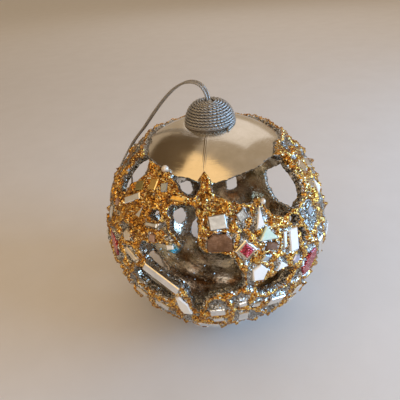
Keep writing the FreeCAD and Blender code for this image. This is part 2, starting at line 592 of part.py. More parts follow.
# ---------------------------------------------------------------- check and write
doc.recompute()
for thing in doc.Objects:
    for state in thing.State:
        if state in ("Invalid", "Error"):
            raise RuntimeError(f"{thing.Name} is {state}")
os.makedirs("parts", exist_ok=True)
for thing in parts:
    if thing.Shape.isNull() or not thing.Shape.isValid():
        raise RuntimeError(f"{thing.Label} has no valid shape")
    thing.Shape.exportStep(os.path.join("parts", f"{thing.Label}.step"))
    print(f"{thing.Label}: {len(thing.Shape.Solids)} solids, {thing.Shape.Volume:.1f} mm3")
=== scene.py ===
# %% [markdown]
# # A hanging mosaic ball
# The real object starts as a clear craft ball of two half shells.  The maker silvers it inside, cuts
# openings through it, and coats what is left with glitter glue that beds small mirror tiles.  A cap wound
# with silver cord hides the moulded tab at the top, and a thin cord loop hangs it up.
# This lesson builds the ball round a fixed frame of CAD parts: the frame says where everything is, and
# each step below makes one piece, or one finish, that fits it.

# %% Load the frame
import json
import math

import bmesh
import bpy
import numpy as np
from mathutils import Matrix, Vector


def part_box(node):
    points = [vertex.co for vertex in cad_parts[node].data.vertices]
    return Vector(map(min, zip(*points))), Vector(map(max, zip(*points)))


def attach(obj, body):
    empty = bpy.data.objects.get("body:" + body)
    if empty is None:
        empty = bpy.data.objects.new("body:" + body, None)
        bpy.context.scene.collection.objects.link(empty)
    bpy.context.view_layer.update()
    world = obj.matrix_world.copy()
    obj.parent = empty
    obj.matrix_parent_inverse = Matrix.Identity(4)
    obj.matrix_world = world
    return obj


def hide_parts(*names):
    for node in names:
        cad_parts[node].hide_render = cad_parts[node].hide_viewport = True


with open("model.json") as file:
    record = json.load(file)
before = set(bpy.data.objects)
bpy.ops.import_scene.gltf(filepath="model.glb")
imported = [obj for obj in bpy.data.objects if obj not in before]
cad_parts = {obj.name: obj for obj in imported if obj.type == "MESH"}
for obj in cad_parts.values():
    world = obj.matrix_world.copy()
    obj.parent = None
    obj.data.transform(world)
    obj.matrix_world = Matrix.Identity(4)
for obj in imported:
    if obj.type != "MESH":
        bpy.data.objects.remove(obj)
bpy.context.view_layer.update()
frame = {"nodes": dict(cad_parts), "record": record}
nodes = frame["nodes"]
slot_of = {row["node"]: row["material_slot"] for row in frame["record"]["subparts"]}
MM = 0.001

# %% [markdown]
# Everything on the ball is placed by two angles, as a map-maker does: lon turns from the front towards
# the right, and pol is the angle down from the top.  The ball's radius and its centre come from the frame:
# the left half shell's box gives the radius, and the tile it stands on gives the height.

# %% Places on the ball
BALL = round(-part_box("half_shell_left")[0].x, 4)
GLUE = 0.1 * MM
WALL = 1.6 * MM
CENTRE = np.array([0, 0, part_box("resting_tile")[1].z + GLUE + BALL])


def outward(lon, pol):
    """Unit vectors: (sin pol sin lon, -sin pol cos lon, cos pol), for angles in degrees, whole arrays."""
    lon, pol = np.radians(lon), np.radians(pol)
    return np.stack([np.sin(pol) * np.sin(lon), -np.sin(pol) * np.cos(lon), np.cos(pol)], -1)


def unit(vectors):
    """Vectors scaled to a length of 1."""
    return vectors / np.linalg.norm(vectors, axis=-1, keepdims=True)


def facing(out):
    """Two unit vectors square to out: one to the east, one towards the top of the ball."""
    east = unit(np.cross([0, 0, 1], out))
    return np.stack([east, np.cross(out, east)])


def run_along(line):
    """How far along a line each of its points lies."""
    return np.concatenate([[0], np.cumsum(np.linalg.norm(np.diff(line, axis=0), axis=1))])


def new_object(name, data):
    """An object in the scene, at the origin, that holds the data."""
    made = bpy.data.objects.new(name, data)
    bpy.context.scene.collection.objects.link(made)
    return made


print("ball radius and centre in mm:", BALL / MM, np.round(CENTRE / MM, 2))

# %% [markdown]
# The camera comes first, because the stretch of cord that nobody sees has to lie where it doesn't look.
# It looks down at the ball from a little to its right, tipped by a few degrees as a hand-held camera is,
# and the ball sits a little right of and below the middle of its view.

# %% The camera
AZIMUTH, ELEVATION, TIP = 7.5, 35.0, 3.5
DISTANCE = 199.2 * MM
LENS, SENSOR = 36.09, 36.0
OFF_CENTRE = np.array([0.04, -0.0375])


def place_camera():
    """Stand the camera off along the line of sight, then turn it so that the ball is off centre."""
    back = outward(AZIMUTH, 90 - ELEVATION)
    right, up = facing(back)
    tip = math.radians(TIP)
    right, up = (right * math.cos(tip) - up * math.sin(tip), right * math.sin(tip) + up * math.cos(tip))
    turn = Matrix(np.stack([right, up, back], 1).tolist()).to_quaternion()
    aim = Vector((*(OFF_CENTRE * SENSOR / LENS), -1)).normalized()
    turn = turn @ aim.rotation_difference(Vector((0, 0, -1)))
    data = bpy.data.cameras.new("camera")
    data.lens, data.sensor_width = LENS, SENSOR
    data.clip_start, data.clip_end = 0.01, 10
    camera = new_object("camera", data)
    camera.matrix_world = Matrix.Translation(CENTRE + back * DISTANCE) @ turn.to_matrix().to_4x4()
    bpy.context.scene.camera = camera


place_camera()

# %% [markdown]
# A finished surface goes into a mesh in one step, from an array of points and an array of faces.  Every
# piece rides on the one body that this ornament has, and each takes its finish from one of its slots.

# %% From arrays to pieces
BODY = "root"
HALVES = ((-1, "left"), (1, "right"))
finishes = {}


def make_piece(name, points, faces, slot, replaced=None, sharp_angle=None):
    """A smooth-shaded mesh at the origin, in place of a CAD node; sharp_angle, in degrees, keeps creases."""
    mesh = bpy.data.meshes.new(name)
    mesh.from_pydata(points.tolist(), [], faces.tolist())
    mesh.update()
    mesh.shade_smooth()
    if sharp_angle:
        mesh.set_sharp_from_angle(angle=math.radians(sharp_angle))
    mesh.materials.append(finishes[slot])
    piece = new_object(name, mesh)
    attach(piece, BODY)
    if replaced:
        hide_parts(replaced)
    print(f"{name}: {len(points)} points, {len(faces)} faces")
    return piece


def grid_faces(rows, columns, closed=False, start=0):
    """Quads of a grid whose points run column by column along each row; closed joins the last column."""
    row = np.arange(rows - 1)[:, None] * columns
    column = np.arange(columns if closed else columns - 1)[None]
    after = (column + 1) % columns
    quads = np.stack([row + column, row + after, row + columns + after, row + columns + column], -1)
    return quads.reshape(-1, 4) + start


def set_values(piece, name, values):
    """One number per point, which a material reads as an attribute."""
    attribute = piece.data.attributes.new(name, "FLOAT", "POINT")
    attribute.data.foreach_set("value", values.astype(np.float32))


# %% [markdown]
# Hand-laid glue is uneven at several scales.  A cheap smooth noise is a sum of sine waves that run in
# random directions: it needs no texture, works on whole arrays, and a seed makes it the same every time.

# %% Smooth noise
def waves(points, length, seed, count=20):
    """Noise with a spread of about 1: sine waves in random directions, each about as long as length."""
    random = np.random.default_rng(seed)
    ways = random.normal(size=(count, 3))
    ways *= (2 * math.pi / length * random.uniform(0.6, 1.5, count) / np.linalg.norm(ways, axis=1))[:, None]
    return np.sin(points @ ways.T + random.uniform(0, 2 * math.pi, count)).sum(1) / math.sqrt(count / 2)


# %% [markdown]
# ## Finishes
# Effects that several finishes share are node groups, built once.  Glitter is the main one: each flake is
# a tiny mirror that lies at its own angle in the glue.  A Voronoi texture cuts space into cells of a
# flake's size, and its random colour tips each cell's normal and picks each cell's shade.

# %% Node helpers
def new_group(name, inputs, outputs):
    """A node group with (name, type, default) inputs and (name, type) outputs, and its coordinates."""
    tree = bpy.data.node_groups.new(name, "ShaderNodeTree")
    for label, kind, value in inputs:
        socket = tree.interface.new_socket(label, in_out="INPUT", socket_type=f"NodeSocket{kind}")
        if value is not None:
            socket.default_value = value
    for label, kind in outputs:
        tree.interface.new_socket(label, in_out="OUTPUT", socket_type=f"NodeSocket{kind}")
    place = tree.nodes.new("ShaderNodeTexCoord").outputs["Object"]
    return tree, tree.nodes.new("NodeGroupInput"), tree.nodes.new("NodeGroupOutput"), place


def node(tree, kind, settings=None, **links):
    """A node with its settings; each link names an input (spaces as _) and gives a value or a socket."""
    made = tree.nodes.new(f"ShaderNode{kind}")
    for key, value in (settings or {}).items():
        setattr(made, key, value)
    for key, value in links.items():
        wanted = int(key[1:]) if key[0] == "i" and key[1:].isdigit() else key.replace("_", " ")
        if isinstance(value, bpy.types.NodeSocket):
            tree.links.new(value, made.inputs[wanted])
        else:
            made.inputs[wanted].default_value = value
    return made


def maths(tree, operation, first, second=0.0, clamp=False):
    """The result of one sum, such as ADD, on two values."""
    return node(tree, "Math", {"operation": operation, "use_clamp": clamp}, i0=first, i1=second).outputs[0]


def blend_colours(tree, share, first, second):
    """From the first colour to the second as share goes from 0 to 1."""
    return node(tree, "Mix", {"data_type": "RGBA"}, i0=share, i6=first, i7=second).outputs[2]


def blend_values(tree, share, first, second):
    """From the first value to the second as share goes from 0 to 1."""
    return node(tree, "Mix", {"data_type": "FLOAT"}, i0=share, i2=first, i3=second).outputs[0]


def own_value(tree, name):
    """The number that set_values gave each point."""
    return node(tree, "Attribute", {"attribute_name": name}).outputs["Fac"]


def ramp(tree, value, stops):
    """Colours at places from 0 to 1, with straight blends between them."""
    made = node(tree, "ValToRGB", None, Fac=value)
    elements = made.color_ramp.elements
    while len(elements) < len(stops):
        elements.new(0.5)
    for element, (place, colour) in zip(elements, stops):
        element.position = place
        element.color = (*colour, 1)
    return made.outputs[0]


# %% Shared effects
def build_flakes():
    """Flakes: a random number per flake and a normal that is tipped flake by flake."""
    tree, given, result, place = new_group(
        "glitter_flakes", [("Size", "Float", 0.0005), ("Tilt", "Float", 0.4)],
        [("Shade", "Float"), ("Second shade", "Float"), ("Normal", "Vector")])
    cells = node(tree, "TexVoronoi", None, Vector=place, Scale=maths(tree, "DIVIDE", 1.0, given.outputs[0]))
    split = node(tree, "SeparateColor", None, Color=cells.outputs["Color"])
    centred = node(tree, "VectorMath", {"operation": "SUBTRACT"}, i0=cells.outputs["Color"], i1=(0.5,) * 3)
    tipped = node(tree, "VectorMath", {"operation": "SCALE"}, i0=centred.outputs[0], Scale=given.outputs[1])
    normal = node(tree, "NewGeometry").outputs["Normal"]
    total = node(tree, "VectorMath", {"operation": "ADD"}, i0=normal, i1=tipped.outputs[0])
    unit = node(tree, "VectorMath", {"operation": "NORMALIZE"}, i0=total.outputs[0])
    tree.links.new(split.outputs[0], result.inputs[0])
    tree.links.new(split.outputs[1], result.inputs[1])
    tree.links.new(unit.outputs[0], result.inputs[2])
    return tree


def build_mottle():
    """Soft blotches from 0 to 1, of a given size, as in uneven silvering or a film of dust."""
    tree, given, result, place = new_group(
        "mottle", [("Size", "Float", 0.004), ("Contrast", "Float", 1.0)], [("Value", "Float")])
    scale = maths(tree, "DIVIDE", 1.0, given.outputs[0])
    noise = node(tree, "TexNoise", None, Vector=place, Scale=scale, Detail=4.0, Roughness=0.6)
    spread = maths(tree, "MULTIPLY", maths(tree, "SUBTRACT", noise.outputs["Fac"], 0.5), given.outputs[1])
    tree.links.new(maths(tree, "ADD", maths(tree, "MULTIPLY", spread, 2.2), 0.5, True), result.inputs[0])
    return tree


def build_scuffs():
    """Fine scratches from 0 to 1: noise that is stretched along one way."""
    tree, given, result, place = new_group("scuffs", [("Size", "Float", 0.0004)], [("Value", "Float")])
    turned = node(tree, "Mapping", None, Vector=place, Rotation=(0.5, 0.9, 0.3), Scale=(1, 1, 14))
    scale = maths(tree, "DIVIDE", 0.08, given.outputs[0])
    noise = node(tree, "TexNoise", None, Vector=turned.outputs[0], Scale=scale, Detail=3.0)
    sharp = maths(tree, "MULTIPLY", maths(tree, "SUBTRACT", noise.outputs["Fac"], 0.55), 5.0, True)
    tree.links.new(sharp, result.inputs[0])
    return tree


FLAKES, MOTTLE, SCUFFS = build_flakes(), build_mottle(), build_scuffs()


def use(tree, group, **links):
    """A shared effect in a material, with its inputs set or linked."""
    made = tree.nodes.new("ShaderNodeGroup")
    made.node_tree = group
    for key, value in links.items():
        if isinstance(value, bpy.types.NodeSocket):
            tree.links.new(value, made.inputs[key])
        else:
            made.inputs[key].default_value = value
    return made


def start_material(name, **sockets):
    """A material with one Principled shader whose plain sockets are set, and its node tree."""
    material = bpy.data.materials.new(name)
    material.use_nodes = True
    for key, value in sockets.items():
        material.node_tree.nodes["Principled BSDF"].inputs[key.replace("_", " ")].default_value = value
    return material, material.node_tree


def finished(material, colour, roughness, normal=None):
    """The material, once its colour, roughness and normal are linked to its shader."""
    tree = material.node_tree
    for name, value in (("Base Color", colour), ("Roughness", roughness), ("Normal", normal)):
        if value is not None:
            tree.links.new(value, tree.nodes["Principled BSDF"].inputs[name])
    return material


def cloudy(name, size, contrast, low, high, roughness, **sockets):
    """Soft clouds of a size that blend two shades, and the roughness of each."""
    material, tree = start_material(name, **sockets)
    cloud = use(tree, MOTTLE, Size=size, Contrast=contrast).outputs[0]
    return finished(material, blend_colours(tree, cloud, low, high), blend_values(tree, cloud, *roughness))


# %% [markdown]
# The glue coat is gold in most places and silver in some, so one finish does both: the mesh carries a
# number, gold, that says which glitter was shaken on.  Gold flakes run from deep copper to pale yellow.

# %% Glitter glue
GOLD_SHADES = [
    (0.0, (0.09, 0.028, 0.005)), (0.3, (0.38, 0.13, 0.016)), (0.6, (0.72, 0.33, 0.04)),
    (0.86, (0.95, 0.58, 0.11)), (1.0, (1.0, 0.88, 0.5))]
SILVER_SHADES = [
    (0.0, (0.07, 0.065, 0.05)), (0.3, (0.3, 0.28, 0.24)), (0.65, (0.62, 0.6, 0.55)), (1.0, (1.0, 1.0, 0.97))]
TEAL = (0.06, 0.42, 0.6, 1)


def glitter_glue():
    """Gold or silver flakes, teal ones at one spot, all darkened by painted shade where the glue lies low."""
    material, tree = start_material("glitter_glue", Metallic=0.9, Coat_Weight=0.35, Coat_Roughness=0.15)
    flakes = use(tree, FLAKES, Size=0.5 * MM, Tilt=0.9)
    gold = own_value(tree, "gold")
    shade, second = flakes.outputs["Shade"], flakes.outputs["Second shade"]
    picked = maths(tree, "GREATER_THAN", gold, maths(tree, "ADD", maths(tree, "MULTIPLY", second, 0.5), 0.25))
    colour = blend_colours(tree, picked, ramp(tree, shade, SILVER_SHADES), ramp(tree, shade, GOLD_SHADES))
    rise = own_value(tree, "rise")
    # painted shade: where the glue lies low, the flake colour is pulled three quarters of the way towards
    # near black
    painted_low_shade = maths(tree, "ADD", maths(tree, "MULTIPLY", rise, 0.85), 0.3, True)
    colour = blend_colours(tree, painted_low_shade, blend_colours(tree, 0.75, colour, (0.05, 0.035, 0.02, 1)), colour)
    teal = own_value(tree, "teal")
    teal = maths(tree, "MULTIPLY", teal, maths(tree, "ADD", shade, 0.35), True)
    grain = node(tree, "Bump", None, Strength=0.4, Distance=0.2 * MM, Height=shade,
                 Normal=flakes.outputs["Normal"])
    return finished(material, blend_colours(tree, teal, colour, TEAL),
                    blend_values(tree, second, 0.1, 0.42), grain.outputs[0])


finishes["gold_glitter"] = glitter_glue()

# %% [markdown]
# The silvered plastic is a satin mirror outside.  Inside it is darker and smoky, because the maker's
# silvering runs thin there, and loose glitter clings to it, most of all beside each opening.

# %% Silvered plastic
def silvered_plastic():
    """A satin mirror, a little uneven and scuffed."""
    material, tree = start_material("silvered_plastic", Metallic=1.0, Coat_Weight=0.25)
    blotch = use(tree, MOTTLE, Size=9 * MM, Contrast=0.7).outputs[0]
    scuff = use(tree, SCUFFS, Size=0.5 * MM).outputs[0]
    colour = blend_colours(tree, blotch, (0.62, 0.57, 0.48, 1), (0.8, 0.76, 0.69, 1))
    rough = maths(tree, "ADD", blend_values(tree, blotch, 0.13, 0.24), maths(tree, "MULTIPLY", scuff, 0.08))
    ripple = node(tree, "Bump", None, Strength=0.06, Distance=0.3 * MM, Height=scuff)
    return finished(material, colour, rough, ripple.outputs[0])


def smoky_inside():
    """Brown and olive smoke over the mirror, with pale clouds, and silver specks most of all at a rim."""
    material, tree = start_material("smoky_inside", Metallic=0.92)
    flakes = use(tree, FLAKES, Size=0.6 * MM, Tilt=0.8)
    blotch = use(tree, MOTTLE, Size=7 * MM, Contrast=1.3).outputs[0]
    rim = own_value(tree, "rim")
    tint = use(tree, MOTTLE, Size=16 * MM, Contrast=1.6).outputs[0]
    dark = blend_colours(tree, tint, (0.34, 0.17, 0.07, 1), (0.27, 0.26, 0.17, 1))
    pale = use(tree, MOTTLE, Size=11 * MM, Contrast=2.4).outputs[0]
    smoke = blend_colours(tree, maths(tree, "MULTIPLY", pale, 0.7), dark, (1.0, 0.95, 0.84, 1))
    amount = maths(tree, "ADD", maths(tree, "MULTIPLY", rim, 0.5), 0.06)
    speck = maths(tree, "LESS_THAN", flakes.outputs["Second shade"], amount)
    silver = ramp(tree, maths(tree, "MULTIPLY", flakes.outputs["Shade"], 0.7), SILVER_SHADES)
    normal = node(tree, "NewGeometry").outputs["Normal"]
    uneven = node(tree, "Bump", None, Strength=0.2, Distance=0.4 * MM, Height=blotch, Normal=normal)
    mixed = node(tree, "Mix", {"data_type": "VECTOR"}, i0=speck, i4=uneven.outputs[0],
                 i5=flakes.outputs["Normal"])
    return finished(material, blend_colours(tree, speck, smoke, silver),
                    blend_values(tree, speck, 0.1, 0.2), mixed.outputs[1])


finishes["silvered_plastic"] = silvered_plastic()
SMOKY = smoky_inside()

# %% [markdown]
# ## The openwork ball
# The CAD cuts each opening with straight edges.  The real ones were melted and smoothed by hand, so
# their corners are cut twice (Chaikin's way: each corner gives way to two points at a quarter and three
# quarters of its sides) and the edge, worn a little wider, wanders by a few tenths of a millimetre.  The
# outlines, in (lon, pol), are the CAD's, but the first two and the tenth are drawn out further, and the
# eleventh is an extra.

# %% Openings
OPENINGS = [
    [(-63, 39), (-55, 35.5), (-43.5, 38), (-44, 43), (-48, 48), (-52, 54), (-59, 58), (-64, 56), (-65, 48)],
    [(-23, 38.5), (-16, 39.2), (-9, 40), (-1.8, 40.5), (-1.8, 44.5), (-6, 47.5), (-11, 45.8), (-17, 42.5)],
    [(5, 41), (20, 40), (34, 39), (48, 38), (60, 36), (66, 39), (64, 48), (64, 55), (60, 60),
     (54, 61), (46, 61.5), (40, 62), (36, 60), (34, 52), (31, 49.5), (26, 52), (20, 50.5),
     (13, 48.5), (8, 46)],
    [(-18, 53), (-12, 51.8), (-2, 52), (-2, 66), (-1.5, 70.5), (3, 72.2), (13, 72), (15, 78),
     (17.5, 84), (17.5, 89), (12, 92), (2, 93), (-1.5, 97), (-1.5, 105), (-4.8, 105.5), (-5.5, 96),
     (-8.5, 88.6), (-20, 83.2), (-30, 78.2), (-31, 74), (-29, 71.5), (-24, 71), (-20, 69.8),
     (-16.5, 69.8), (-14.5, 72), (-10.8, 72.4), (-8.5, 70), (-9, 66), (-12, 64.5), (-14.5, 61),
     (-16, 58)],
    [(-36.5, 89.5), (-31, 84.6), (-25, 85), (-19, 87.8), (-14.2, 91), (-14.2, 98.5), (-22, 100),
     (-30, 96.8), (-36, 93.5)],
    [(23, 91), (30, 87.5), (38, 86.5), (43, 88), (40, 93), (32, 96.5), (25, 96)],
    [(48.5, 71), (51, 71), (52.5, 75.5), (51.5, 81), (49.5, 81), (50, 75)],
    [(-28, 56), (-22, 56), (-22, 59.5), (-28, 59.5)],
    [(44, 64), (47, 63.5), (50.5, 66), (49, 68), (45, 67)],
    [(-126, 68), (-117, 58), (-98, 64), (-93, 74), (-97, 80), (-106, 84), (-118, 82), (-126, 78)],
    [(-156, 98), (-150, 97.5), (-146.5, 99), (-152, 106.5), (-156, 106.5)],
    [(-146, 116), (-139, 115.5), (-136, 119), (-137.5, 124), (-143, 125), (-147, 121)],
    [(172, 96), (178, 96), (178, 107), (172, 105)],
    [(150, 88), (140, 82), (131, 75), (126, 82), (118, 88), (117, 97), (122, 105), (131, 106),
     (140, 106), (146, 101), (149, 94)],
    [(116, 109), (122, 109), (128, 112), (124, 115), (118, 114)],
    [(-104, 128), (-92, 126), (-84, 132), (-86, 144), (-100, 142)],
    [(150, 62), (164, 58), (170, 66), (164, 76), (153, 73)],
    [(-176, 70), (-165, 66), (-152, 70), (-150, 80), (-160, 86), (-172, 82)],
    [(-142, 95), (-128, 91), (-115, 96), (-113, 106), (-124, 112), (-138, 107)],
    [(-96, 99), (-82, 95), (-71, 99), (-74, 108), (-88, 112)],
    [(-86, 60), (-77, 55), (-71, 63), (-73, 75), (-81, 78)],
    [(84, 66), (94, 60), (106, 64), (104, 78), (94, 84), (86, 78)],
    [(75, 99), (84, 95), (94, 100), (90, 112), (79, 111)],
    [(96, 43), (112, 41), (118, 48), (108, 54), (98, 51)],
    [(138, 45), (154, 41), (164, 47), (150, 54)],
    [(-170, 44), (-156, 41), (-146, 49), (-160, 56)],
    [(-136, 44), (-121, 42), (-112, 48), (-122, 54), (-134, 52)],
    [(-48, 128), (-34, 124), (-22, 130), (-28, 141), (-42, 142)],
    [(10, 128), (24, 124), (36, 130), (32, 141), (16, 142)],
    [(62, 126), (76, 124), (86, 133), (78, 143), (64, 139)],
    [(122, 128), (136, 124), (146, 132), (138, 143), (124, 140)],
    [(-170, 127), (-156, 124), (-146, 133), (-154, 143), (-168, 140)],
]
FAR = 20 * MM
FRONT_WEAR, BACK_WEAR = 0.25 * MM, 0.9 * MM


def cut_corners(corners, rounds=2):
    """Chaikin's corner cutting on a closed outline, an array of points."""
    for _ in range(rounds):
        after = np.roll(corners, -1, 0)
        corners = np.stack([0.75 * corners + 0.25 * after, 0.25 * corners + 0.75 * after], 1)
        corners = corners.reshape(-1, corners.shape[-1])
    return corners


def outline_distance(spots, outline):
    """Distance from each spot to a closed outline in a plane, less than 0 inside it."""
    start, end = outline, np.roll(outline, -1, 0)
    side, to_spot = end - start, spots[:, None] - start
    along = np.clip((to_spot * side).sum(-1) / (side ** 2).sum(-1), 0, 1)
    away = np.linalg.norm(to_spot - along[..., None] * side, axis=-1).min(1)
    level = (start[:, 1] > spots[:, None, 1]) != (end[:, 1] > spots[:, None, 1])
    rise = np.where(side[:, 1] == 0, 1, side[:, 1])
    crossing = level & (to_spot[..., 0] < side[:, 0] / rise * to_spot[..., 1])
    return np.where(crossing.sum(1) % 2 == 1, -away, away)


def opening_distance(directions):
    """Distance over the ball to the nearest opening, less than 0 within one, with a wandering edge."""
    nearest = np.full(len(directions), FAR)
    for corners in OPENINGS:
        rays = outward(*np.array(corners).T)
        middle = unit(rays.sum(0))
        flat = facing(middle)
        outline = cut_corners((rays @ flat.T) / (rays @ middle)[:, None]) * BALL
        reach = math.cos(math.acos((rays @ middle).min()) + FAR / 2 / BALL)
        close = directions @ middle > reach
        spots = (directions[close] @ flat.T) / (directions[close] @ middle)[:, None] * BALL
        nearest[close] = np.minimum(nearest[close], outline_distance(spots, outline))
    points = directions * BALL
    nearest -= np.where(directions[:, 1] > 0.15, BACK_WEAR, FRONT_WEAR)
    return nearest + 0.24 * MM * waves(points, 6 * MM, 1) + 0.14 * MM * waves(points, 2 * MM, 2)


# %% [markdown]
# Each half shell is a net of triangles over half the ball.  Where a triangle crosses the edge of an
# opening it is cut along the edge itself, so the outline is smooth at any angle.  The net is used twice,
# once for the outside and once for the inside, and walls close it along every cut.

# %% Nets with holes
NET_STEP = 0.6


def half_net(side, first, last):
    """Directions and triangles of a grid in lon and pol over one half; side is -1 for left, 1 for right."""
    lons = np.arange(0, 180 + NET_STEP / 2, NET_STEP) + (-180 if side < 0 else 0)
    pols = np.linspace(first, last, round((last - first) / NET_STEP) + 1)
    pol, lon = np.meshgrid(pols, lons, indexing="ij")
    quads = grid_faces(len(pols), len(lons))
    triangles = np.concatenate([quads[:, [0, 2, 1]], quads[:, [0, 3, 2]]])
    return outward(lon.ravel(), pol.ravel()), triangles


def turned(triangles, odd):
    """Triangles with their marked corner brought to the front."""
    order = (odd.argmax(1)[:, None] + np.arange(3)) % 3
    return np.take_along_axis(triangles, order, 1)


def cut_net(directions, triangles, values):
    """The part of a net where values are above 0, its crossing triangles cut where they are 0."""
    inside = values > 0
    count = inside[triangles].sum(1)
    one = turned(triangles[count == 1], inside[triangles[count == 1]])
    two = turned(triangles[count == 2], ~inside[triangles[count == 2]])
    ends = np.sort(np.concatenate([one[:, :2], one[:, ::2], two[:, :2], two[:, ::2]]), 1)
    pairs, which = np.unique(ends, axis=0, return_inverse=True)
    one_b, one_c, two_b, two_c = np.split(
        which.ravel() + len(directions), np.cumsum([len(one), len(one), len(two)]))
    share = (values[pairs[:, 0]] / (values[pairs[:, 0]] - values[pairs[:, 1]]))[:, None]
    added = unit(directions[pairs[:, 0]] * (1 - share) + directions[pairs[:, 1]] * share)
    triangles = np.concatenate([
        triangles[count == 3], np.stack([one[:, 0], one_b, one_c], 1),
        np.stack([two_b, two[:, 1], two[:, 2]], 1), np.stack([two_b, two[:, 2], two_c], 1)])
    used, triangles = np.unique(triangles, return_inverse=True)
    return np.concatenate([directions, added])[used], triangles.reshape(-1, 3)


def closed_shell(outer, inner, triangles):
    """Points and triangles of a solid: the net outside, the net reversed inside, and walls at its edges."""
    count = len(outer)
    edges = np.concatenate([triangles[:, [0, 1]], triangles[:, [1, 2]], triangles[:, [2, 0]]])
    code, back = edges[:, 0] * count + edges[:, 1], edges[:, 1] * count + edges[:, 0]
    start, end = edges[~np.isin(code, back)].T
    walls = [np.stack([end, start, start + count], 1), np.stack([end, start + count, end + count], 1)]
    return np.concatenate([outer, inner]), np.concatenate([triangles, triangles[:, ::-1] + count, *walls])


def weld(piece, distance=0.004 * MM):
    """Join points that lie together, as at the poles, and drop faces that have no area."""
    shape = bmesh.new()
    shape.from_mesh(piece.data)
    bmesh.ops.remove_doubles(shape, verts=shape.verts, dist=distance)
    bmesh.ops.dissolve_degenerate(shape, edges=shape.edges, dist=distance / 4)
    shape.to_mesh(piece.data)
    shape.free()


# %% Half shells
SEAM_RIM, SEAM_RISE, RIM_EDGE = 0.6 * MM, 0.09 * MM, 0.12 * MM
EDGE_ZONE = 2.2 * MM


def seam_ridge(directions):
    """Height of the moulded rim: a low flat ridge beside the seam plane, with soft shoulders."""
    away = np.abs(directions[:, 0]) * BALL
    shoulder = np.clip((SEAM_RIM - away) / RIM_EDGE, 0, 1)
    groove = np.clip(away / RIM_EDGE, 0, 1)
    return SEAM_RISE * shoulder * groove


def half_shell(side, word):
    """One silvered half: radius = BALL outside and BALL - WALL inside, where the faces are smoky."""
    directions, triangles = half_net(side, 0, 180)
    directions, triangles = cut_net(directions, triangles, opening_distance(directions))
    outer = directions * (BALL + seam_ridge(directions))[:, None] + CENTRE
    inner = directions * (BALL - WALL) + CENTRE
    points, faces = closed_shell(outer, inner, triangles)
    name = f"half_shell_{word}"
    piece = make_piece(f"{name}_silvered", points, faces, "silvered_plastic", name, 40)
    piece.data.materials.append(SMOKY)
    indices = np.zeros(len(faces), np.int32)
    indices[len(triangles):] = 1
    piece.data.polygons.foreach_set("material_index", indices)
    rim = np.clip(1 - opening_distance(directions) / EDGE_ZONE, 0, 1)
    set_values(piece, "rim", np.tile(rim, 2))
    weld(piece)


for side, word in HALVES:
    half_shell(side, word)

# %% [markdown]
# ## The glitter crust
# The crust is one more net, and its height is a sum of simple things: a thin uneven bed of glue, a rounded
# lip along every opening, and a raised bead round every tile that grips its edge.  The tiles' outlines
# come from the frame: each solid in a tile's node is seen from outside the ball, and its reach in each of
# 72 ways round gives the distance to its outline in one array step (for a convex outline that distance is
# the greatest of "how far out this way, less the outline's reach this way").

# %% Where the tiles are
NOT_TILES = ("half_shell", "glitter_crust", "pearl_bead", "white_bead", "cap_", "hanging_loop", "loop_knot")
TILE_NODES = sorted(name for name in nodes if not name.startswith(NOT_TILES))
turns = np.linspace(0, 2 * math.pi, 72, endpoint=False)
WAYS = np.stack([np.cos(turns), np.sin(turns)])


def solids_of(name):
    """The points of each separate solid of a node: points that share triangles get the same number."""
    mesh = nodes[name].data
    points = np.empty(len(mesh.vertices) * 3)
    mesh.vertices.foreach_get("co", points)
    points = points.reshape(-1, 3)
    mesh.calc_loop_triangles()
    triangles = np.empty(len(mesh.loop_triangles) * 3, np.int32)
    mesh.loop_triangles.foreach_get("vertices", triangles)
    _, same = np.unique(np.round(points / MM, 3), axis=0, return_inverse=True)
    same = same.ravel()
    triangles = same[triangles.reshape(-1, 3)]
    label = np.arange(same.max() + 1)
    while True:
        lowest = label.copy()
        np.minimum.at(lowest, triangles, label[triangles].min(1)[:, None])
        if (lowest == label).all():
            break
        label = lowest
    return [points[label[same] == number] for number in np.unique(label)]


def tile_facts(points):
    """A tile seen from outside: its direction, its two flat axes, its height, and its reach each way."""
    local = points - CENTRE
    middle = (local.min(0) + local.max(0)) / 2
    height = np.linalg.norm(middle)
    out = middle / height
    if abs(out[2]) > 0.999:
        flat = np.array([[1.0, 0, 0], [0, -1.0, 0]])
    else:
        flat = facing(out)
    spots = local @ flat.T
    return out, flat, height, (spots @ WAYS).max(0)


tiles = [tile_facts(points) for name in TILE_NODES for points in solids_of(name)]
print(len(tiles), "tiles in", len(TILE_NODES), "nodes")


def tile_distance(directions):
    """Distances to the nearest tile's outline, less than 0 under a tile, and to the second nearest's."""
    nearest, second = np.full((2, len(directions)), FAR)
    for out, flat, height, reach in tiles:
        close = directions @ out > math.cos((reach.max() + 7 * MM) / BALL)
        rays = directions[close]
        spots = (rays @ flat.T) * (height / (rays @ out))[:, None]
        away = (spots @ WAYS - reach).max(1)
        second[close] = np.minimum(second[close], np.maximum(nearest[close], away))
        nearest[close] = np.minimum(nearest[close], away)
    return nearest, second


# %% [markdown]
# The crust stops short of the dome: its upper edge is a wavering line with one tip that runs up the seam
# at the front.  Gold glue was piped in ridges midway between neighbouring tiles, which is where the
# distances to the two nearest tiles are equal, and along the openings.  Between ridge and tile the bed is
# silver, apart from the places where the whole ground was covered in gold.

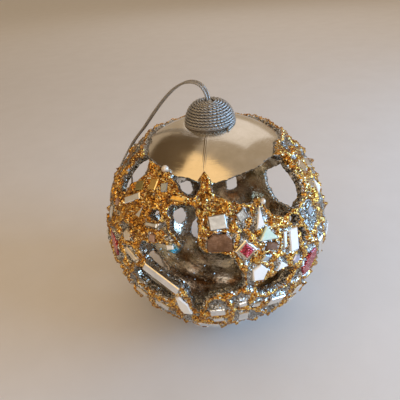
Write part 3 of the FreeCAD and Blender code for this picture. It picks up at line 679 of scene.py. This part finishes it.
# %% Shape and colour of the crust
DOME_EDGE = [
    (-180, 38.5), (-160, 36), (-140, 38), (-120, 36), (-100, 35), (-86, 32), (-72, 34), (-62, 36),
    (-50, 35.5), (-40, 36), (-30, 37), (-22, 38.5), (-16, 41), (-5, 42.5), (-2, 38), (1, 35.5), (4, 38),
    (8, 42.5), (30, 41.5), (48, 40.5), (58, 38.5), (66, 35.5), (78, 33), (90, 35), (110, 37),
    (130, 35.5), (150, 37.5), (165, 36), (180, 38.5)]
GOLD_GROUND = [
    (-48, 47, 9), (-36, 44, 8), (-26, 46, 7), (-42, 58, 10), (-26, 53, 6), (-56, 58, 8), (-64, 44, 8),
    (-66, 60, 7), (-34, 66, 6), (-60, 72, 5), (1, 41, 4), (1, 47, 4.5), (1, 53, 5), (-1, 59, 3.5),
    (-1, 65, 3.5),
    (-10, 49, 5), (9, 52, 4), (16, 54, 3.5), (68, 40, 6), (69, 48, 5), (70, 57, 5), (70, 66, 5), (71, 75, 5),
    (84, 50, 7), (92, 86, 7), (31, 52, 3), (-52, 104, 7), (-36, 108, 6), (-16, 108, 6), (6, 107, 5),
    (28, 106, 5), (48, 104, 5), (64, 98, 5), (120, 60, 9), (140, 115, 10), (-150, 60, 9), (-120, 118, 10),
    (-90, 50, 9), (175, 60, 8), (165, 120, 10), (100, 118, 9), (-70, 122, 9), (0, 122, 9), (50, 122, 9)]
TEAL_SPOT = (-12.5, 70.5, 2.2)
LIP, LIP_OVER = 1.1 * MM, 0.2 * MM
BED, TILE_RISE, RIDGE, OPENING_RIDGE = 1.0 * MM, 1.45 * MM, 1.9 * MM, 1.4 * MM
TILE_GRIP, RIDGE_WIDTH, RIM_WIDTH, RIM_INSET = 0.8 * MM, 0.95 * MM, 0.85 * MM, 1.5 * MM
UNDER_TILE, THINNEST, THICKEST = 0.3 * MM, 0.2 * MM, 3.3 * MM
GRAIN = 0.24 * MM


def hump(distance, width):
    """A smooth bell of height 1: e to the minus (distance / width) squared."""
    return np.exp(-((distance / width) ** 2))


def near_spot(directions, lon, pol, reach):
    """1 near a place on the ball, falling to 0 over the two degrees about reach degrees away."""
    away = np.degrees(np.arccos(np.clip(directions @ outward(lon, pol), -1, 1)))
    return np.clip((reach - away) / 2 + 0.5, 0, 1)


def dome_distance(directions):
    """Distance down the ball from the crust's upper edge."""
    lon = np.degrees(np.arctan2(directions[:, 0], -directions[:, 1]))
    pol = np.degrees(np.arccos(np.clip(directions[:, 2], -1, 1)))
    return np.radians(pol - np.interp(lon, *np.array(DOME_EDGE).T)) * BALL


def ridges(directions, edge, tile, second):
    """How strongly each place belongs to a piped ridge: between two tiles, and beside an opening."""
    wander = 0.45 * MM * waves(directions * BALL, 5 * MM, 6)
    between = hump((second - tile) / 2 + wander, RIDGE_WIDTH) * np.clip(tile / (0.5 * MM), 0, 1)
    between[second >= FAR] = 0
    beside = hump(edge - RIM_INSET + wander / 2, RIM_WIDTH)
    return between, beside


def crust_height(directions, edge, tile, second):
    """Height above the shell: bed, slopes up to the tiles, ridges and lumps, rounded off at every edge."""
    points = directions * BALL
    between, beside = ridges(directions, edge, tile, second)
    lumps = 0.24 * MM * waves(points, 4 * MM, 3) + 0.13 * MM * waves(points, 1.5 * MM, 4)
    pile = np.maximum(RIDGE * between, OPENING_RIDGE * beside * (0.85 + 0.3 * waves(points, 7 * MM, 5)))
    slope = TILE_RISE * hump(np.clip(tile, 0, None), TILE_GRIP)
    height = np.where(tile < -0.15 * MM, UNDER_TILE, BED + lumps + np.maximum(pile, slope))
    rounding = np.sqrt(np.clip(1 - (1 - np.clip(edge / LIP, 0, 1)) ** 2, 0, 1))
    return np.clip(height, THINNEST, THICKEST) * rounding + 0.05 * MM


def gold_amount(directions, edge, tile, second):
    """1 where the glitter is gold, 0 where it is silver."""
    between, beside = ridges(directions, edge, tile, second)
    far_side = np.clip(directions[:, 1] * 4 - 0.2, 0, 1)
    ground = far_side * np.clip(0.75 + 0.9 * waves(directions * BALL, 17 * MM, 8), 0, 1)
    for spot in GOLD_GROUND:
        ground = np.maximum(ground, near_spot(directions, *spot))
    lip = np.clip(1 - edge / (0.7 * MM), 0, 1)
    uneven = 0.16 * waves(directions * BALL, 3 * MM, 7)
    return np.clip(np.maximum(ground, np.maximum(between, beside) * 1.25) + uneven - lip * 0.9, 0, 1)


def crust_edge(directions):
    """Distance to the crust's edge, at an opening or at the dome, less than 0 past it."""
    return np.minimum(opening_distance(directions) + LIP_OVER, dome_distance(directions))


def crust(side, word):
    """One half of the glue coat: radius = BALL + GLUE + height outside, cut at the openings and dome."""
    directions, triangles = half_net(side, 30, 180)
    directions, triangles = cut_net(directions, triangles, crust_edge(directions))
    edge = np.clip(crust_edge(directions), 0, None)
    tile, second = tile_distance(directions)
    height = crust_height(directions, edge, tile, second)
    grain = np.random.default_rng(11 + side).uniform(-0.5, 0.5, len(directions)) * GRAIN
    height += grain * np.clip(height / BED, 0, 1)
    outer = directions * (BALL + GLUE + height)[:, None] + CENTRE
    inner = directions * (BALL + GLUE / 2) + CENTRE
    points, faces = closed_shell(outer, inner, triangles)
    name = f"glitter_crust_{word}"
    piece = make_piece(f"{name}_glue", points, faces, "gold_glitter", name)
    set_values(piece, "gold", np.tile(gold_amount(directions, edge, tile, second), 2))
    # rise is the glue's height above its bed; glitter_glue uses it to paint shade where the glue lies low
    set_values(piece, "rise", np.tile(np.clip((height - 0.7 * MM) / RIDGE, 0, 1), 2))
    set_values(piece, "teal", np.tile(near_spot(directions, *TEAL_SPOT), 2))
    weld(piece)


for side, word in HALVES:
    crust(side, word)

# %% [markdown]
# ## Tiles
# The CAD tiles already have their real size, bevel and tilt, so they stay, and each gets a finish.  Hand
# cut mirror is never clean: a film of glue and fine scuffs roughen it, and its silvering is blotchy.

# %% Tile finishes
TILE_COLOURS = {
    "clear_mirror": ((0.7, 0.7, 0.67), (1.0, 1.0, 0.98), 1.0, 0.05),
    "olive_mirror": ((0.2, 0.16, 0.05), (0.46, 0.37, 0.14), 1.0, 0.12),
    "amber_mirror": ((0.5, 0.28, 0.05), (0.9, 0.62, 0.2), 1.0, 0.12),
    "brown_mirror": ((0.16, 0.09, 0.06), (0.42, 0.27, 0.2), 1.0, 0.1),
    "frosted_silver": ((0.34, 0.34, 0.33), (0.62, 0.62, 0.6), 0.9, 0.32),
    "blue_glass": ((0.3, 0.35, 0.4), (0.56, 0.62, 0.67), 0.9, 0.12),
    "white_glass": ((0.9, 0.92, 0.92), (1.0, 1.0, 0.99), 0.0, 0.1),
    "cream_glass": ((0.62, 0.54, 0.42), (0.87, 0.81, 0.7), 0.4, 0.14),
    "rose_glass": ((0.42, 0.25, 0.19), (0.72, 0.5, 0.42), 0.5, 0.14),
    "mint_glass": ((0.55, 0.86, 0.72), (0.9, 1.0, 0.93), 0.15, 0.08),
    "lavender_glass": ((0.42, 0.4, 0.5), (0.7, 0.68, 0.76), 0.6, 0.12),
}


def tile_finish(name, low, high, metallic, roughness):
    """Blotchy silvering between two shades, with a film of glue and fine scuffs in the polish."""
    material, tree = start_material(name, Metallic=metallic, Coat_Weight=0.5, Coat_Roughness=0.04)
    blotch = use(tree, MOTTLE, Size=3.5 * MM, Contrast=1.0).outputs[0]
    film = use(tree, MOTTLE, Size=1.3 * MM, Contrast=1.6).outputs[0]
    scuff = use(tree, SCUFFS, Size=0.3 * MM).outputs[0]
    rough = maths(tree, "ADD", blend_values(tree, film, roughness, roughness + 0.12),
                  maths(tree, "MULTIPLY", scuff, 0.1))
    wavy = node(tree, "Bump", None, Strength=0.12, Distance=0.4 * MM, Height=blotch)
    return finished(material, blend_colours(tree, blotch, (*low, 1), (*high, 1)), rough, wavy.outputs[0])


def red_glitter_glass():
    """Clear glass over red glitter: small flakes from near black to bright cherry, under a clear coat."""
    material, tree = start_material("red_glitter_glass", Metallic=0.7, Coat_Weight=0.8)
    flakes = use(tree, FLAKES, Size=0.45 * MM, Tilt=0.7)
    shades = [(0.0, (0.1, 0.004, 0.01)), (0.5, (0.42, 0.02, 0.045)), (0.85, (0.72, 0.06, 0.1)),
              (1.0, (0.95, 0.45, 0.42))]
    rough = blend_values(tree, flakes.outputs["Second shade"], 0.15, 0.45)
    return finished(material, ramp(tree, flakes.outputs["Shade"], shades), rough, flakes.outputs["Normal"])


def silver_cord():
    """Metallised yarn: fine fibres along each ply, each of its own shade, tarnished in soft patches."""
    material, tree = start_material("silver_cord", Metallic=0.75, Sheen_Weight=0.2)
    worn = use(tree, MOTTLE, Size=2.5 * MM, Contrast=1.1).outputs[0]
    fibres = use(tree, FLAKES, Size=0.16 * MM, Tilt=0.35)
    shades = blend_colours(tree, fibres.outputs["Shade"], (0.13, 0.125, 0.12, 1), (0.6, 0.6, 0.59, 1))
    colour = blend_colours(tree, maths(tree, "MULTIPLY", worn, 0.35), shades, (0.36, 0.3, 0.23, 1))
    rough = blend_values(tree, fibres.outputs["Second shade"], 0.22, 0.45)
    return finished(material, colour, rough, fibres.outputs["Normal"])


for name, facts in TILE_COLOURS.items():
    finishes[name] = tile_finish(name, *facts)
finishes["red_glitter_glass"] = red_glitter_glass()
finishes["pearl"] = cloudy(
    "pearl", 1.6 * MM, 1.2, (0.72, 0.62, 0.5, 1), (0.95, 0.92, 0.86, 1), (0.35, 0.2),
    Metallic=0.25, Coat_Weight=0.8, Coat_Roughness=0.12)
finishes["brown_plastic"] = cloudy(
    "brown_plastic", 1.2 * MM, 1.0, (0.19, 0.16, 0.13, 1), (0.33, 0.29, 0.25, 1), (0.32, 0.5), Metallic=0.15)
finishes["silver_cord"] = silver_cord()
for name, thing in nodes.items():
    thing.data.materials.clear()
    thing.data.materials.append(finishes[slot_of[name]])
print("finishes:", ", ".join(sorted(finishes)))

# %% [markdown]
# One clear tile has a red heart: a smaller stone of the same outline set on its middle.  It is the top
# face of the tile, drawn in towards its centre and lifted, with a narrower top to make a bevel.

# %% The red heart
def red_heart(name, share=0.7, rise=0.45 * MM):
    """Three rings of the tile's four corners, each drawn in by its share, closed above and below."""
    points = solids_of(name)[0]
    out, flat, _, _ = tile_facts(points)
    local = points - CENTRE
    level = (local @ out).max()
    spots = (local @ flat.T)[local @ out > level - 0.6 * MM]
    middle = (spots.min(0) + spots.max(0)) / 2
    way = np.degrees(np.arctan2(*(spots - middle).T[::-1]))
    outline = [spots[np.abs((way - turn + 180) % 360 - 180) < 35] for turn in (0, 90, 180, 270)]
    corners = np.array([part[np.linalg.norm(part - middle, axis=1).argmax()] - middle for part in outline])
    rings = [(share, -0.5 * MM), (share, rise * 0.5), (share * 0.8, rise)]
    points = np.concatenate([
        (middle + corners * size) @ flat + out * (level + lift) for size, lift in rings]) + CENTRE
    quads = grid_faces(3, 4, closed=True)
    ends = [[8, 9, 10], [8, 10, 11], [2, 1, 0], [3, 2, 0]]
    faces = np.concatenate([quads[:, [0, 1, 2]], quads[:, [0, 2, 3]], ends])
    make_piece("red_heart", points, faces, "red_glitter_glass", sharp_angle=20)


red_heart("red_diamond_tile")

# %% [markdown]
# ## Cord
# The cap's winding and the hanging loop are the same kind of yarn, two plies twisted together in the
# winding and three in the loop.  A ply is a small circle carried along a path that itself winds round the
# cord's own line, so one function makes both, from the line's points and a vector square to it at each.

# %% Twisted cord
PLY_SHARE = 0.3


def plies(line, aside, thickness, lay, sides=7, count=3):
    """Tubes that wind round a line, one turn every lay, and together make a cord of the thickness."""
    along = unit(np.gradient(line, axis=0))
    first = unit(aside - (aside * along).sum(1)[:, None] * along)
    second = np.cross(along, first)
    run = run_along(line)
    radius = thickness * PLY_SHARE
    angle = np.linspace(0, 2 * math.pi, sides, endpoint=False)
    ring = np.cos(angle)[None, :, None] * first[:, None] + np.sin(angle)[None, :, None] * second[:, None]
    spot, after = np.arange(sides), (np.arange(sides) + 1) % sides
    points, faces = [], []
    for ply in range(count):
        turn = 2 * math.pi * (run / lay + ply / count)
        way = np.cos(turn)[:, None] * first + np.sin(turn)[:, None] * second
        middle = line + way * (thickness / 2 - radius)
        tube = middle[:, None] + ring * radius
        base = ply * (len(line) * sides + 2)
        points.append(np.concatenate([tube.reshape(-1, 3), middle[[0, -1]]]))
        body = grid_faces(len(line), sides, closed=True, start=base)[:, ::-1]
        foot, tip = base + len(line) * sides, base + len(line) * sides + 1
        last = base + (len(line) - 1) * sides
        faces += [body[:, [0, 1, 2]], body[:, [0, 2, 3]],
                  np.stack([np.full(sides, foot), base + after, base + spot], 1),
                  np.stack([np.full(sides, tip), last + spot, last + after], 1)]
    return np.concatenate(points), np.concatenate(faces)


# %% The glue ring
WINDING_RADIUS, _, WINDING_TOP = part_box("cap_cord_winding")[1]
BULGE_LON, BULGE, RING = -70, 0.55 * MM, 0.75 * MM


def glue_ring():
    """Set glue under the winding, which bulges on one side: radius = R + b cos(lon - L) squared."""
    lon = np.linspace(-180, 180, 96, endpoint=False)
    bulge = np.clip(np.cos(np.radians(lon - BULGE_LON)), 0, 1) ** 2 * BULGE
    around = np.linspace(0, 2 * math.pi, 8, endpoint=False)
    reach = WINDING_RADIUS - 0.9 * MM + bulge[:, None] + RING * np.cos(around)[None]
    rise = np.sqrt(BALL ** 2 - reach ** 2) + 0.45 * MM + 0.45 * MM * np.sin(around)[None]
    sine, cosine = np.sin(np.radians(lon))[:, None], np.cos(np.radians(lon))[:, None]
    points = np.stack([reach * sine, -reach * cosine, rise + CENTRE[2]], -1).reshape(-1, 3)
    quads = grid_faces(len(lon) + 1, len(around), closed=True) % len(points)
    faces = np.concatenate([quads[:, [0, 2, 1]], quads[:, [0, 3, 2]]])
    make_piece("cap_glue_ring", points, faces, "brown_plastic", "cap_collar")


glue_ring()

# %% [markdown]
# The winding climbs the cap row by row and closes over its rounded top.  Its line is a helix whose radius
# and height follow the cap's outline, r = R (1 - s^1.5)^0.27, where s is the share of the height.

# %% The cap's winding
YARN = 1.14 * MM
ROW_PITCH = 1.2 * MM
TWIST = 3.3 * MM
TAIL_ANGLE = math.radians(44)
TAIL_SHARE, TAIL_OUT, TAIL_DROP = 0.012, 1.9 * MM, 0.2 * MM
CORD_HOLE = 1.9 * MM
CAP_SLOPE, CAP_SHOULDER = 1.5, 0.27
CAP_FOOT = CENTRE[2] + math.sqrt(BALL ** 2 - WINDING_RADIUS ** 2)


def cap_outline(steps=400):
    """Points (r, z) half a yarn inside the cap's outline, evenly spaced, up to the cord's hole."""
    radius = WINDING_RADIUS - YARN / 2 + 0.4 * MM
    foot, top = CAP_FOOT + YARN / 3, WINDING_TOP - YARN / 2 + 0.15 * MM
    share = np.sin(np.linspace(0, math.pi / 2, steps))
    curve = np.stack([radius * (1 - share ** CAP_SLOPE) ** CAP_SHOULDER, foot + (top - foot) * share], 1)
    curve = curve[curve[:, 0] > CORD_HOLE]
    run = run_along(curve)
    even = np.linspace(0, run[-1], steps)
    return np.stack([np.interp(even, run, curve[:, k]) for k in (0, 1)], 1), round(run[-1] / ROW_PITCH)


def cap_winding():
    """The yarn along a helix over the outline, twisted about the outline's outward normal."""
    curve, rows = cap_outline()
    slope = unit(np.gradient(curve, axis=0))
    length = np.sum(2 * math.pi * curve[:, 0]) / len(curve) * rows
    steps = int(length / (TWIST / 9))
    turn = np.linspace(0, 1, steps)
    place = np.linspace(0, 1, len(curve))
    # equal lengths of yarn, not equal angles: turns near the middle are shorter
    turns_run = np.interp(turn, np.cumsum(curve[:, 0]) / curve[:, 0].sum(), place)
    r, z, dr, dz = (np.interp(turns_run, place, a) for a in (*curve.T, *slope.T))
    angle = 2 * math.pi * rows * turns_run + TAIL_ANGLE
    loose = np.clip(1 - turn / TAIL_SHARE, 0, 1) ** 1.5
    r, z = r + loose * TAIL_OUT, z - loose * TAIL_DROP
    line = np.stack([r * np.sin(angle), -r * np.cos(angle), z], 1)
    aside = np.stack([dz * np.sin(angle), -dz * np.cos(angle), -dr], 1)
    points, faces = plies(line, aside, YARN, TWIST, count=2)
    make_piece("cap_winding_yarn", points, faces, "silver_cord", "cap_cord_winding")
    return length


print("winding yarn in mm:", round(cap_winding() / MM))

# %% [markdown]
# The loop rises from the middle of the cap, bends over, and hangs against the ball's left side, where the
# camera doesn't see its far end.  Its line is a smooth spline over listed points, out and back, and
# the yarn follows that spline.  To twist it evenly, each point needs a vector that never lines up with
# the cord: the vector from a fixed spot beside the ball does that all the way round.

# %% The hanging loop
LOOP_CORD, LOOP_TWIST = 1.1 * MM, 3.2 * MM
LOOP_ROUTE = [
    (0.0, 0.0009, 0.1118), (-0.0005, 0.0012, 0.1152), (-0.0036, 0.0027, 0.1185), (-0.0088, 0.0053, 0.1186),
    (-0.0146, 0.008, 0.1154), (-0.02, 0.0105, 0.1104), (-0.0253, 0.013, 0.1044), (-0.03, 0.0151, 0.0986),
    (-0.0348, 0.0169, 0.0926), (-0.0404, 0.0173, 0.0867), (-0.0445, 0.0187, 0.0803),
    (-0.0472, 0.0206, 0.0733), (-0.0485, 0.0237, 0.0655), (-0.0492, 0.0251, 0.0569),
    (-0.0511, 0.0212, 0.0496), (-0.0534, 0.0133, 0.0467), (-0.055, 0.0063, 0.0506),
    (-0.055, 0.0034, 0.0583), (-0.0534, 0.007, 0.0659), (-0.0502, 0.013, 0.0724),
    (-0.0456, 0.0163, 0.0799), (-0.041, 0.0159, 0.0867), (-0.0352, 0.0151, 0.093),
    (-0.0309, 0.0133, 0.0986), (-0.0262, 0.0111, 0.1044), (-0.0209, 0.0086, 0.1104),
    (-0.0155, 0.006, 0.1154), (-0.0097, 0.0034, 0.1186), (-0.0044, 0.001, 0.1185),
    (-0.0012, -0.0004, 0.1152), (-0.0007, -0.0006, 0.1118)]
BESIDE = CENTRE + np.array([-0.0254, -0.0544, 0.0])


def spline_points(route):
    """Points along the smooth spline whose control points are the route."""
    curve = bpy.data.curves.new("loop_line", "CURVE")
    curve.dimensions = "3D"
    curve.resolution_u = 24
    spline = curve.splines.new("NURBS")
    spline.points.add(len(route) - 1)
    spline.points.foreach_set("co", np.column_stack([route, np.ones(len(route))]).ravel())
    spline.order_u = 3
    spline.use_endpoint_u = True
    carrier = bpy.data.objects.new("loop_line", curve)
    mesh = bpy.data.meshes.new_from_object(carrier)
    points = np.empty(len(mesh.vertices) * 3)
    mesh.vertices.foreach_get("co", points)
    bpy.data.objects.remove(carrier)
    bpy.data.curves.remove(curve)
    bpy.data.meshes.remove(mesh)
    return points.reshape(-1, 3)


def hanging_loop():
    """Three plies twisted round the smooth spline over the route."""
    line = spline_points(LOOP_ROUTE)
    length = run_along(line)[-1]
    points, faces = plies(line, line - BESIDE, LOOP_CORD, LOOP_TWIST)
    piece = make_piece("hanging_loop_yarn", points, faces, "silver_cord", "hanging_loop")
    return length


print("loop length in mm:", round(hanging_loop() / MM, 1))

# %% [markdown]
# ## Floor and light
# A pale floor, a cool light from the right, as from a window, a broad warm one from above on the left, as
# from a lamp, and two softer white ones, behind and in front.  Glitter and mirrors need something bright
# and something dark to reflect, so the lights are panels with clear edges, the room round them is a warm
# mid grey, and a square of dark cloth hangs up on the left.

# %% Floor and dark cloth
def stage_square(name, corners, material):
    """A flat square that belongs to the setting, not to the ball."""
    mesh = bpy.data.meshes.new(name)
    mesh.from_pydata(corners.tolist(), [], [(0, 1, 2, 3)])
    mesh.materials.append(material)
    new_object(name, mesh)


SQUARE = np.array([[-1, -1], [1, -1], [1, 1], [-1, 1]])
FLOOR_HALF = 2.0
pale_floor = cloudy(
    "pale_floor", 30 * MM, 0.4, (0.69, 0.675, 0.665, 1), (0.77, 0.76, 0.76, 1), (0.9, 0.9))
stage_square("floor", np.column_stack([SQUARE * FLOOR_HALF, np.zeros(4)]), pale_floor)

CLOTH_LON, CLOTH_POL, CLOTH_AWAY, CLOTH_SIZE = -120, 44, 0.7, 0.58
cloth_way = outward(CLOTH_LON, CLOTH_POL)
dark_cloth, _ = start_material("dark_cloth", Roughness=1.0, Base_Color=(0.2, 0.125, 0.055, 1))
cloth_corners = CENTRE + cloth_way * CLOTH_AWAY + SQUARE[::-1] @ facing(cloth_way) * CLOTH_SIZE / 2
stage_square("dark_flag", cloth_corners, dark_cloth)

# %% Lights
def panel(name, lon, pol, away, size, watts, colour):
    """A square light panel that looks at the ball from a direction given in the ball's own angles."""
    data = bpy.data.lights.new(name, "AREA")
    data.size, data.energy, data.color = size, watts, colour
    light = new_object(name, data)
    light.location = CENTRE + outward(lon, pol) * away
    light.rotation_euler = Vector(outward(lon, pol)).to_track_quat("Z", "Y").to_euler()


panel("window", 84, 74, 0.6, 0.4, 4.1, (0.33, 0.62, 1.0))
panel("lamp", -34, 24, 0.9, 0.84, 1.8, (1.0, 0.62, 0.22))
panel("back wall", 176, 52, 1.0, 0.9, 1.2, (1.0, 0.98, 1.0))
panel("front fill", 14, 62, 0.9, 0.45, 0.95, (1.0, 0.96, 0.92))
world = bpy.data.worlds.new("room")
world.use_nodes = True
world.node_tree.nodes["Background"].inputs["Color"].default_value = (0.46, 0.35, 0.235, 1)
world.node_tree.nodes["Background"].inputs["Strength"].default_value = 1.0
bpy.context.scene.world = world
bpy.context.scene.view_settings.view_transform = "Standard"
